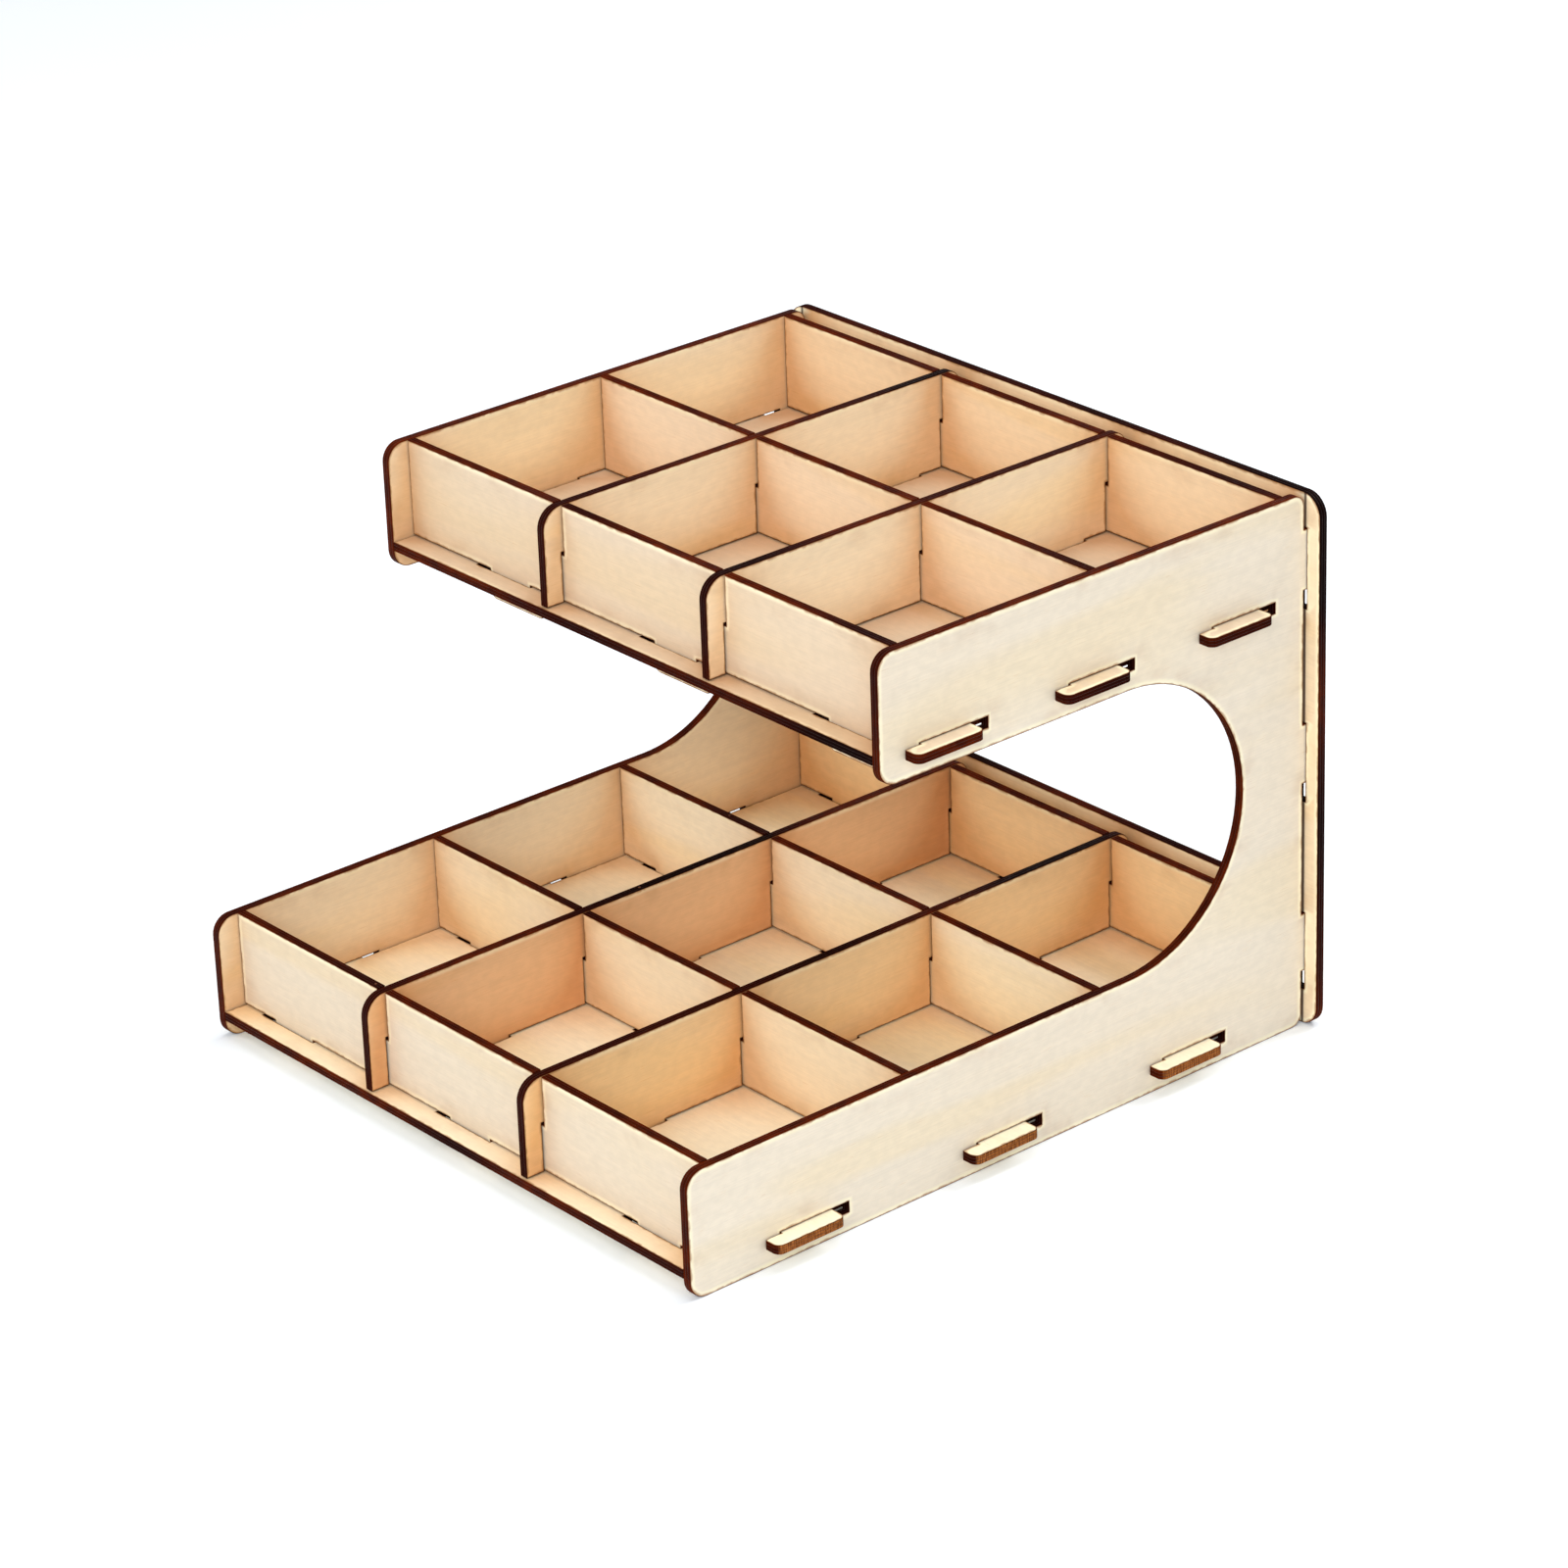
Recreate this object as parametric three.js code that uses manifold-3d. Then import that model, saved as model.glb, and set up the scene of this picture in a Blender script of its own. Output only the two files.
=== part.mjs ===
// A two-tier desk rack for paint pots: sixteen flat pieces cut from one thickness of plywood and
// hooked and slotted together without glue.
// Millimetres. X runs across the rack, Y from front to back and Z up. The origin is at the middle
// of the bounding box, on the surface that the rack stands on.

import * as THREE from 'three';
import { mergeVertices } from 'three/addons/utils/BufferGeometryUtils.js';
import Module from 'manifold-3d';

const wasm = await Module();
wasm.setup();

// Sheet and joints
const PLY = 3;                   // thickness of every piece
const FIT = 0.2;                 // clearance on each face of a hook and its slot
const SLACK = 0.45;              // clearance of the half-laps, and the gap left under the walls
const REAR_GAP = 1;              // gap left between the side panels and the back panel
const SLOT_WIDTH = PLY + 2 * FIT;
const LAP_WIDTH = PLY + 2 * SLACK;
const SLOT_LENGTH = 26;          // slot that a hook drops into
const SLIP = 6.2;                // how far a hook slides to lock, left open at the slot's other end
const OVERHANG = 6;              // how far a hook's head reaches past its slot
const HOOK_REACH = 9.2;          // from a piece's edge to the outside of its hooks
const WALL_HOOK_REACH = 9.5;     // the same on the walls, whose lowest hooks just clear the surface
const HOOK_TIP_RADIUS = 2.5;
const HOOK_HEEL_RADIUS = 2.2;
const LIP_RADIUS = 0.6;

// Grid of compartments, measured between the middles of the walls
const COLUMNS = 3;
const COLUMN_PITCH = 75;
const ROW_PITCH = 76;
const LOWER_ROWS = 3;
const UPPER_ROWS = 2;

// Heights
const ARM_HEIGHT = 41;           // side panel arm, and so the outside of a tray
const TIER_LIFT = 135;           // from the lower tray to the upper one
const FLOOR_LIFT = 6.4;          // underside of a floor above the bottom of its arms
const BACK_HEIGHT = TIER_LIFT + ARM_HEIGHT;

// Depths, from the middle of the lower front panel
const SIDE_FRONT = -9.2;
const FLOOR_FRONT = -9.2;
const FIN_FRONT = -8.4;          // front edge of the fins, where the long dividers end
const SIDE_REAR = 235.5;
const DIVIDER_REAR = 234.7;
const ARCH_END = 210;            // deepest point of the round-ended gap between the arms

// Corners
const ARM_CORNER = 6;
const SIDE_REAR_CORNER = 4;
const FIN_CORNER = 7;
const DIVIDER_REAR_CORNER = 5;
const BACK_CORNER = 7;
const WINDOW_CORNER = 10;

// Hook positions
const LOWER_SIDE_HOOKS = { middle: 113.5, pitch: ROW_PITCH };
const UPPER_SIDE_HOOKS = { middle: 152.8, pitch: 57.7 };
const LOWER_CROSS_HOOKS = { middle: 0, pitch: 88 };
const UPPER_CROSS_HOOKS = { middle: 12.4, pitch: 78 };
const REAR_HOOKS = { middle: 88.3, pitch: 63.4 };
const HOOKS_PER_EDGE = 3;

// Back panel
const BACK_OVERHANG = 5.6;       // past the outside of each side panel
const WINDOW_WIDTH = 192;

// Arcs: each piece of an arc has 2 x CURVE_SEGMENTS steps, and a corner up to the largest radius is one piece
const CURVE_SEGMENTS = 4;
const LARGEST_ARC_IN_ONE_PIECE = 16;

// Bare veneer, by kind of piece
const VENEER = { side: 0xe8d5b0, back: 0xdec9a0, floor: 0xead0a0, wall: 0xe3c797, divider: 0xedddb8 };
const VENEER_ROUGHNESS = 0.72;

const sideMiddle = COLUMNS * COLUMN_PITCH / 2;
const sideInside = sideMiddle - PLY / 2;
const sideOutside = sideMiddle + PLY / 2;
const dividerPositions = [-COLUMN_PITCH / 2, COLUMN_PITCH / 2];
const rearHookOutside = SIDE_REAR + HOOK_REACH;

const LOWER = {
  name: 'lower',
  base: 0,
  front: 0,
  rows: LOWER_ROWS,
  sideHooks: LOWER_SIDE_HOOKS,
  crossHooks: LOWER_CROSS_HOOKS,
};
const UPPER = {
  name: 'upper',
  base: TIER_LIFT,
  front: (LOWER_ROWS - UPPER_ROWS) * ROW_PITCH,
  rows: UPPER_ROWS,
  sideHooks: UPPER_SIDE_HOOKS,
  crossHooks: UPPER_CROSS_HOOKS,
};

// ---- outlines ----

// Adds a corner to a path, as an arc that touches both of its edges when it has a radius.
function addCorner(path, before, corner, after) {
  const [x, y, radius = 0] = corner;
  const point = new THREE.Vector2(x, y);
  if (radius === 0) {
    path.lineTo(x, y);
    return;
  }
  const back = new THREE.Vector2(before[0], before[1]).sub(point).normalize();
  const ahead = new THREE.Vector2(after[0], after[1]).sub(point).normalize();
  const halfAngle = Math.acos(back.dot(ahead)) / 2;
  const centre = back.clone().add(ahead).setLength(radius / Math.sin(halfAngle)).add(point);
  const start = back.clone().multiplyScalar(radius / Math.tan(halfAngle)).add(point).sub(centre);
  const clockwise = back.cross(ahead) > 0;
  const sweep = (Math.PI - 2 * halfAngle) * (clockwise ? -1 : 1);
  const pieces = Math.ceil(radius / LARGEST_ARC_IN_ONE_PIECE);
  for (let piece = 0; piece < pieces; piece += 1) {
    const from = start.angle() + sweep * piece / pieces;
    path.absarc(centre.x, centre.y, radius, from, from + sweep / pieces, clockwise);
  }
}

// Draws a closed outline through corners given as [x, y] or [x, y, radius]. The first has no radius.
function drawOutline(path, corners) {
  path.moveTo(corners[0][0], corners[0][1]);
  corners.slice(1).forEach((corner, index) => {
    const after = corners[(index + 2) % corners.length];
    addCorner(path, corners[index], corner, after);
  });
  path.closePath();
  return path;
}

function rectangle(left, right, bottom, top) {
  return [[left, bottom], [right, bottom], [right, top], [left, top]];
}

function roundedRectangle(halfWidth, bottom, top, radius) {
  return [
    [0, bottom],
    [halfWidth, bottom, radius],
    [halfWidth, top, radius],
    [-halfWidth, top, radius],
    [-halfWidth, bottom, radius],
  ];
}

// ---- joints ----

// The slots of one row of hooks, as [start, end] along the edge.
function slotSpans({ middle, pitch }) {
  return Array.from({ length: HOOKS_PER_EDGE }, (_, index) => {
    const centre = middle + (index - (HOOKS_PER_EDGE - 1) / 2) * pitch;
    return [centre - SLOT_LENGTH / 2, centre + SLOT_LENGTH / 2];
  });
}

// One hook as [along, out] corners, in order of rising "along". Its head points to rising "along",
// and the slot stays open at its start. gap is what the edge leaves to the piece that it hooks.
function hookCorners([slotStart, slotEnd], gap = FIT, reach = HOOK_REACH) {
  const heel = slotStart + SLIP;
  const neck = slotEnd - FIT;
  const tip = slotEnd + OVERHANG;
  const throat = gap + PLY + FIT;
  return [
    [heel, 0],
    [heel, reach, HOOK_HEEL_RADIUS],
    [tip, reach, HOOK_TIP_RADIUS],
    [tip, throat, LIP_RADIUS],
    [neck, throat],
    [neck, 0],
  ];
}

// The same hook pointing the other way: its head points to falling "along".
function reversedHookCorners([slotStart, slotEnd]) {
  const mirrored = hookCorners([-slotEnd, -slotStart]);
  return mirrored.map(([along, out, radius]) => [-along, out, radius]).reverse();
}

// The part of a slot that a straight tab of a divider fills.
function tabSpan([slotStart, slotEnd]) {
  return [slotStart, slotEnd - SLIP];
}

// ---- solids ----

// A flat piece of the given outline and thickness, centred on its own plane.
function extrudeOutline(corners, thickness) {
  const geometry = new THREE.ExtrudeGeometry(drawOutline(new THREE.Shape(), corners), {
    depth: thickness,
    bevelEnabled: false,
    curveSegments: CURVE_SEGMENTS,
  });
  return geometry.translate(0, 0, -thickness / 2);
}

function solidOf(geometry) {
  geometry.deleteAttribute('normal');
  geometry.deleteAttribute('uv');
  const merged = mergeVertices(geometry);
  return new wasm.Manifold(new wasm.Mesh({
    numProp: 3,
    vertProperties: merged.attributes.position.array,
    triVerts: new Uint32Array(merged.index.array),
  }));
}

function geometryOf(solid) {
  const { vertProperties, triVerts } = solid.getMesh();
  const indexed = new THREE.BufferGeometry();
  indexed.setAttribute('position', new THREE.BufferAttribute(vertProperties, 3));
  indexed.setIndex(new THREE.BufferAttribute(triVerts, 1));
  const geometry = indexed.toNonIndexed();
  geometry.computeVertexNormals();
  return geometry;
}

// ---- pieces ----

// Cuts an outline and its holes from the sheet and names the piece.
function cutPiece(name, veneer, corners, holes = []) {
  const sheet = solidOf(extrudeOutline(corners, PLY));
  const cut = holes.reduce((solid, hole) => solid.subtract(solidOf(extrudeOutline(hole, 2 * PLY))), sheet);
  const finish = { color: veneer, roughness: VENEER_ROUGHNESS, metalness: 0 };
  const mesh = new THREE.Mesh(geometryOf(cut), new THREE.MeshStandardMaterial(finish));
  mesh.name = name;
  return mesh;
}

// Stands a piece drawn in Y and Z across X.
function standAcrossX(mesh, x) {
  mesh.quaternion.setFromRotationMatrix(new THREE.Matrix4().makeBasis(
    new THREE.Vector3(0, 1, 0), new THREE.Vector3(0, 0, 1), new THREE.Vector3(1, 0, 0)));
  mesh.position.x = x;
  return mesh;
}

// Stands a piece drawn in X and Z across Y.
function standAcrossY(mesh, y) {
  mesh.rotation.x = Math.PI / 2;
  mesh.position.y = y;
  return mesh;
}

// Lays a piece drawn in X and Y flat.
function layFlat(mesh, z) {
  mesh.position.z = z;
  return mesh;
}

const floorMiddle = (tier) => tier.base + FLOOR_LIFT + PLY / 2;
const wallBottom = (tier) => tier.base + FLOOR_LIFT + PLY + SLACK;
const wallTop = (tier) => tier.base + ARM_HEIGHT;
const lapHeight = (tier) => (wallBottom(tier) + wallTop(tier)) / 2;
const wallPositions = (tier) => Array.from(
  { length: tier.rows + 1 }, (_, row) => tier.front + row * ROW_PITCH);

// Side panel: a lower arm, an upper arm and a column behind them, with a round-ended gap between
// the arms, slots for both floors and three hooks that go through the back panel.
function sidePanel(name, x) {
  const upperFront = UPPER.front + SIDE_FRONT;
  const archRadius = (TIER_LIFT - ARM_HEIGHT) / 2;
  const rearHooks = slotSpans(REAR_HOOKS).flatMap(
    (span) => hookCorners(span, REAR_GAP).map(([along, out, radius]) => [SIDE_REAR + out, along, radius]));
  const corners = [
    [0, 0],
    [SIDE_REAR, 0, SIDE_REAR_CORNER],
    ...rearHooks,
    [SIDE_REAR, TIER_LIFT + ARM_HEIGHT, SIDE_REAR_CORNER],
    [upperFront, TIER_LIFT + ARM_HEIGHT, ARM_CORNER],
    [upperFront, TIER_LIFT, ARM_CORNER],
    [ARCH_END, TIER_LIFT, archRadius],
    [ARCH_END, ARM_HEIGHT, archRadius],
    [SIDE_FRONT, ARM_HEIGHT, ARM_CORNER],
    [SIDE_FRONT, 0, ARM_CORNER],
  ];
  const slots = [LOWER, UPPER].flatMap((tier) => slotSpans(tier.sideHooks).map(([start, end]) =>
    rectangle(start, end, floorMiddle(tier) - SLOT_WIDTH / 2, floorMiddle(tier) + SLOT_WIDTH / 2)));
  return standAcrossX(cutPiece(name, VENEER.side, corners, slots), x);
}

// Back panel: overhangs both side panels, takes their hooks and has a window between the trays.
function backPanel() {
  const corners = roundedRectangle(sideOutside + BACK_OVERHANG, 0, BACK_HEIGHT, BACK_CORNER);
  const window = roundedRectangle(WINDOW_WIDTH / 2, ARM_HEIGHT, TIER_LIFT, WINDOW_CORNER);
  const slots = [-sideMiddle, sideMiddle].flatMap((x) => slotSpans(REAR_HOOKS).map(([start, end]) =>
    rectangle(x - SLOT_WIDTH / 2, x + SLOT_WIDTH / 2, start, end)));
  const panel = cutPiece('back_panel', VENEER.back, corners, [window, ...slots]);
  return standAcrossY(panel, SIDE_REAR + REAR_GAP + PLY / 2);
}

// Floor of a tray: hooked through both side panels, with slots for the walls that stand on it.
function floor(tier) {
  const edge = sideInside - FIT;
  const front = tier.front + FLOOR_FRONT;
  const rear = SIDE_REAR;
  const spans = slotSpans(tier.sideHooks);
  const rightHooks = spans.flatMap(reversedHookCorners)
    .map(([along, out, radius]) => [edge + out, along, radius]);
  const leftHooks = rightHooks.map(([x, y, radius]) => [-x, y, radius]).reverse();
  const corners = [
    [-edge, front],
    [edge, front],
    ...rightHooks,
    [edge, rear],
    [-edge, rear],
    ...leftHooks,
  ];
  const crossSlots = wallPositions(tier).flatMap((y) => slotSpans(tier.crossHooks).map(([start, end]) =>
    rectangle(start, end, y - SLOT_WIDTH / 2, y + SLOT_WIDTH / 2)));
  const tabSlots = dividerPositions.flatMap((x) => dividerTabs(tier).map(([start, end]) =>
    rectangle(x - SLOT_WIDTH / 2, x + SLOT_WIDTH / 2, start, end)));
  const holes = [...crossSlots, ...tabSlots];
  return layFlat(cutPiece(`${tier.name}_floor`, VENEER.floor, corners, holes), floorMiddle(tier));
}

// Front, cross and rear walls of a tray: hooked down through the floor, with half-lap slots open at
// the top for the long dividers.
function crossWall(tier, name, y) {
  const edge = sideInside - FIT;
  const bottom = wallBottom(tier);
  const hooks = slotSpans(tier.crossHooks)
    .flatMap((span) => hookCorners(span, SLACK, WALL_HOOK_REACH))
    .map(([along, out, radius]) => [along, bottom - out, radius]);
  const laps = [...dividerPositions].reverse().flatMap((x) => [
    [x + LAP_WIDTH / 2, wallTop(tier)],
    [x + LAP_WIDTH / 2, lapHeight(tier) - SLACK],
    [x - LAP_WIDTH / 2, lapHeight(tier) - SLACK],
    [x - LAP_WIDTH / 2, wallTop(tier)],
  ]);
  const corners = [
    [-edge, bottom],
    ...hooks,
    [edge, bottom],
    [edge, wallTop(tier)],
    ...laps,
    [-edge, wallTop(tier)],
  ];
  return standAcrossY(cutPiece(name, VENEER.wall, corners), y);
}

// Slots for a long divider's tabs: those of the side hooks that keep clear of the cross walls.
function dividerTabs(tier) {
  const clearOfWalls = ([start, end]) => wallPositions(tier).every((y) => y < start || y > end);
  return slotSpans(tier.sideHooks).filter(clearOfWalls).map(tabSpan);
}

// Long divider: drops over the cross walls, stands out past the front panel as a fin and ends close
// to the back panel.
function longDivider(tier, name, x) {
  const bottom = wallBottom(tier);
  const lap = lapHeight(tier) + SLACK;
  const tabs = dividerTabs(tier).map(([start, end]) => ({
    at: start,
    corners: [
      [start + FIT, bottom],
      [start + FIT, bottom - PLY - SLACK],
      [end - FIT, bottom - PLY - SLACK],
      [end - FIT, bottom],
    ],
  }));
  const laps = wallPositions(tier).map((y) => ({
    at: y,
    corners: [
      [y - LAP_WIDTH / 2, bottom],
      [y - LAP_WIDTH / 2, lap],
      [y + LAP_WIDTH / 2, lap],
      [y + LAP_WIDTH / 2, bottom],
    ],
  }));
  const front = tier.front + FIN_FRONT;
  const corners = [
    [front, bottom],
    ...[...tabs, ...laps].sort((a, b) => a.at - b.at).flatMap((cut) => cut.corners),
    [DIVIDER_REAR, bottom],
    [DIVIDER_REAR, wallTop(tier), DIVIDER_REAR_CORNER],
    [front, wallTop(tier), FIN_CORNER],
  ];
  return standAcrossX(cutPiece(name, VENEER.divider, corners), x);
}

// ---- assembly ----

function tray(tier, crossNames) {
  const walls = wallPositions(tier).map(
    (y, index) => crossWall(tier, `${tier.name}_${crossNames[index]}`, y));
  const dividers = dividerPositions.map(
    (x, index) => longDivider(tier, `${tier.name}_long_divider_${['left', 'right'][index]}`, x));
  return [floor(tier), ...walls, ...dividers];
}

const pieces = new THREE.Group();
pieces.add(
  sidePanel('left_side_panel', -sideMiddle),
  sidePanel('right_side_panel', sideMiddle),
  backPanel(),
  ...tray(LOWER, ['front_panel', 'cross_divider_front', 'cross_divider_rear', 'rear_panel']),
  ...tray(UPPER, ['front_panel', 'cross_divider', 'rear_panel']),
);
pieces.position.y = -(SIDE_FRONT + rearHookOutside) / 2;

const rack = new THREE.Group();
rack.name = 'paint_rack';
rack.add(pieces);

export default rack;
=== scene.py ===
"""Two-tier paint rack of laser-cut plywood: sixteen flat pieces, their burnt edges, and a pale stage.

Run as a script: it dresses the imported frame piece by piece. Sizes are in metres, except where a
comment says that outlines are handled in millimetres.
"""

import math

import bpy
import numpy as np
from bpy.props import FloatProperty, FloatVectorProperty, IntProperty, PointerProperty
from mathutils import Matrix, Vector
from mathutils.geometry import delaunay_2d_cdt


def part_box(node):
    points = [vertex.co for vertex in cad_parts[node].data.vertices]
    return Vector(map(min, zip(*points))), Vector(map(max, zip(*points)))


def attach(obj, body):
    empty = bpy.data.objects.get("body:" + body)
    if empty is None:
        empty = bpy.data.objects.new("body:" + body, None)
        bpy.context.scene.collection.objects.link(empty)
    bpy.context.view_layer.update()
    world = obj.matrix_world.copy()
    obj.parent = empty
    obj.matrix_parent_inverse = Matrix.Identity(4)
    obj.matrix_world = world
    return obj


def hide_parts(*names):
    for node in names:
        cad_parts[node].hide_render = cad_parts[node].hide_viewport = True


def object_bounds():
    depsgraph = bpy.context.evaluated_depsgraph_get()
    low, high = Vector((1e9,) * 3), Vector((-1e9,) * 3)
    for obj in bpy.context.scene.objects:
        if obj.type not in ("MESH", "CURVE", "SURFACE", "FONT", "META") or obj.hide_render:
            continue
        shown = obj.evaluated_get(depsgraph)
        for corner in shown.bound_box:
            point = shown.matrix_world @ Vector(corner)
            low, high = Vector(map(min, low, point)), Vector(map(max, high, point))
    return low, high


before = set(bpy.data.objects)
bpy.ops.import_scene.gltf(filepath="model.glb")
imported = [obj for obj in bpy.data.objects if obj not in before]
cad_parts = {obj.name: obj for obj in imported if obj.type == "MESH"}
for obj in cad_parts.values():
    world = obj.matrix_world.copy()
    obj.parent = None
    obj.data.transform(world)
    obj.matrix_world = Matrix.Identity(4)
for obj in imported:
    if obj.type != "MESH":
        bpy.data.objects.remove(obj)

CAD_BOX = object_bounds()    # the frame's own box, before anything is added
BOXES = {name: np.array(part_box(name)) for name in sorted(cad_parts)}

bl_info = {
    "name": "Plywood Paint Rack",
    "version": (1, 0, 0),
    "blender": (4, 5, 0),
    "location": "3D View > Sidebar > Paint Rack",
    "description": "Dresses a slotted plywood paint rack with veneer, burnt edges and a pale stage",
    "category": "Object",
}

MM = 0.001
BODY = "root"

# Faces of a cut sheet are triangulated finely near an edge, where the scorching changes fast.
RING_INSETS = (0.35, 0.8, 1.5, 2.8, 5.5, 10.0)      # mm in from the edge
GRID_STEP = 12.0                                    # mm between points in the middle of a sheet
EDGE_STEP = 4.0                                     # mm between points along a straight edge
NEAR = 0.97                                         # share of its inset that a ring point must keep
TOLERANCE = 1e-4                                    # mm

# Painted shade in the corners of the cells: a sheet that stands proud by this many times the
# corners' reach gives most of the painted shade that it can, and the power keeps it close to the corners.
PROUD_SHARE = 2.5
PAINTED_SHADE_POWER = 1.5

# Outlines are read in mm, rounded to this many decimals, from the triangles this close to the top.
DECIMALS = 3
LEVEL = 0.01                                        # mm

# Each sheet takes its grain from its own place on one imagined veneer, this far apart.
GRAIN_SHIFT = Vector((0.371, 0.229))

# A slot is a hole whose rim is shorter than this.
LONGEST_SLOT_RIM = 0.1                              # m

# Turns sharper than this are creases between the faces of a sheet and its cut.
CREASE = math.radians(40.0)
RIDGE_SIDES = 6

# A bare face reflects more than charcoal.
FACE_SPECULAR = 0.35
CUT_SPECULAR = 0.015

# Relief, as depth in metres and strength.
FIBRE_RELIEF = (0.00006, 0.22)
STRIATION_RELIEF = (0.00008, 0.5)
GLUE_RELIEF = (0.00003, 0.6)
TORN_RELIEF = (0.0001, 0.8)

UV_NAME = "cut"
DISTANCE_NAME = "edge_distance"
PAINTED_SHADE_NAME = "painted_shade"
FACING_NAME = "facing"


# ---------------------------------------------------------------- settings

def colour_property(name, description, default):
    return FloatVectorProperty(name=name, description=description, subtype="COLOR", size=3,
                               min=0.0, max=1.0, default=default)


def length_property(name, description, default):
    return FloatProperty(name=name, description=description, unit="LENGTH", subtype="DISTANCE",
                         min=0.0, precision=5, default=default)


def share_property(name, description, default):
    return FloatProperty(name=name, description=description, subtype="FACTOR",
                         min=0.0, max=1.0, default=default)


class RackSheetSettings(bpy.types.PropertyGroup):
    """The cut through a sheet."""
    arris: length_property("Arris", "Width that the beam has worn off a face's edge", 0.00014)
    groove: length_property("Groove", "Depth of the burnt groove beside a glue line", 0.00005)
    ridge: length_property("Ridge", "Radius of the glue line that stands in the groove", 0.00005)
    ply: share_property("Core", "Share of the thickness that the middle ply takes", 0.34)


class RackVeneerSettings(bpy.types.PropertyGroup):
    """Shades of the bare faces, from palest to warmest, their figure, and the painted shade in the cells'
    corners. Each shade is a wood tone with some painted light and shade in it: well-lit faces at the front
    and right take darker shades, and White is lifted to make up for the shade deep in the cells.
    """
    white: colour_property("White", "Bright sapwood", (0.975, 0.87, 0.66))
    cream: colour_property("Cream", "Palest veneer", (0.78, 0.69, 0.56))
    ivory: colour_property("Ivory", "Pale, slightly pink veneer", (0.735, 0.625, 0.48))
    blond: colour_property("Blond", "Bright yellowish veneer", (0.91, 0.77, 0.55))
    straw: colour_property("Straw", "Common veneer", (0.87, 0.71, 0.52))
    wheat: colour_property("Wheat", "Common veneer, a little darker", (0.71, 0.57, 0.415))
    honey: colour_property("Honey", "Warm veneer", (0.85, 0.67, 0.45))
    amber: colour_property("Amber", "Warm yellow veneer", (0.92, 0.675, 0.385))
    tan: colour_property("Tan", "Warmest veneer", (0.82, 0.53, 0.30))
    warm: colour_property("Patch", "Tint of the broad warm patches", (0.99, 0.94, 0.87))
    streak: colour_property("Streak", "Tint of the mineral streaks", (1.0, 0.935, 0.76))
    pore: colour_property("Pore", "Tint of the short dark pores", (0.80, 0.68, 0.55))
    # Painted shade: this tint darkens the faces in the corners of the cells, where shade falls.
    corner: colour_property("Corner", "Painted shade in the corners of the cells", (0.82, 0.64, 0.50))
    contrast: share_property("Figure", "Strength of the figure", 0.5)
    reach: length_property("Corner reach", "How far the corners' tint spreads", 0.011)


class RackScorchSettings(bpy.types.PropertyGroup):
    """What the beam leaves on the faces and the cut, and the painted shade on the back panel where the side
    panels meet it.
    """
    char: colour_property("Char", "Blackest part of a cut", (0.006, 0.0008, 0.0004))
    umber: colour_property("Umber", "Usual colour of a cut", (0.027, 0.0025, 0.0005))
    rust: colour_property("Rust", "Lightest part of a cut", (0.095, 0.011, 0.0010))
    singed: colour_property("Singed", "Hooks that the beam passed quickly", (0.40, 0.135, 0.034))
    toast: colour_property("Toast", "Browned veneer beside a cut", (0.36, 0.155, 0.045))
    bleach: colour_property("Bleach", "Pale veneer beyond the browned band", (1.0, 0.93, 0.66))
    line: length_property("Line", "Width of the black line along a face's edge", 0.0002)
    band: length_property("Band", "Width of the browned band", 0.0008)
    halo: length_property("Halo", "Width of the pale band", 0.0022)
    # Painted shade: dark lines on the back panel's front, where the side panels' rear edges meet it, stand
    # in for the shade in the narrow gap there.
    gap_shade_width: length_property("Painted gap shade", "Width of the painted shade lines on the back panel", 0.0010)


class RackStubSettings(bpy.types.PropertyGroup):
    """Stubs of the tabs that held the pieces in their sheet."""
    width: length_property("Width", "Length of a stub along its edge", 0.0009)
    height: length_property("Height", "How far a stub stands proud", 0.00022)
    seed: IntProperty(name="Seed", description="Seed of the stubs' sizes", min=0, default=7)


class RackStageSettings(bpy.types.PropertyGroup):
    """Floor, lights and camera."""
    floor: colour_property("Floor", "Colour of the surface", (0.905, 0.94, 0.975))
    glow: share_property("Glow", "Light that the surface gives off by itself", 0.06)
    sky: colour_property("Surround", "Colour of the surrounding light", (0.93, 0.965, 1.0))
    sky_strength: FloatProperty(name="Surround strength", description="Strength of the surrounding light",
                                min=0.0, default=0.24)
    power: FloatProperty(name="Power", description="Power of all the soft boxes together",
                         unit="POWER", min=0.0, default=93.0)
    azimuth: FloatProperty(name="Azimuth", description="Camera's direction round the rack",
                           subtype="ANGLE", default=math.radians(50.15))
    elevation: FloatProperty(name="Elevation", description="Camera's height above the horizon",
                             subtype="ANGLE", default=math.radians(24.94))
    roll: FloatProperty(name="Roll", description="Camera's tilt", subtype="ANGLE",
                        default=math.radians(-2.066))
    distance: length_property("Distance", "From the camera to the point it looks at", 1.75)
    lens: FloatProperty(name="Lens", description="Focal length on a 36 mm frame, in millimetres",
                        min=1.0, default=130.47)


# ---------------------------------------------------------------- shader groups

COLOUR, NUMBER, VECTOR = "NodeSocketColor", "NodeSocketFloat", "NodeSocketVector"
WHITE = (1.0, 1.0, 1.0, 1.0)


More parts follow.
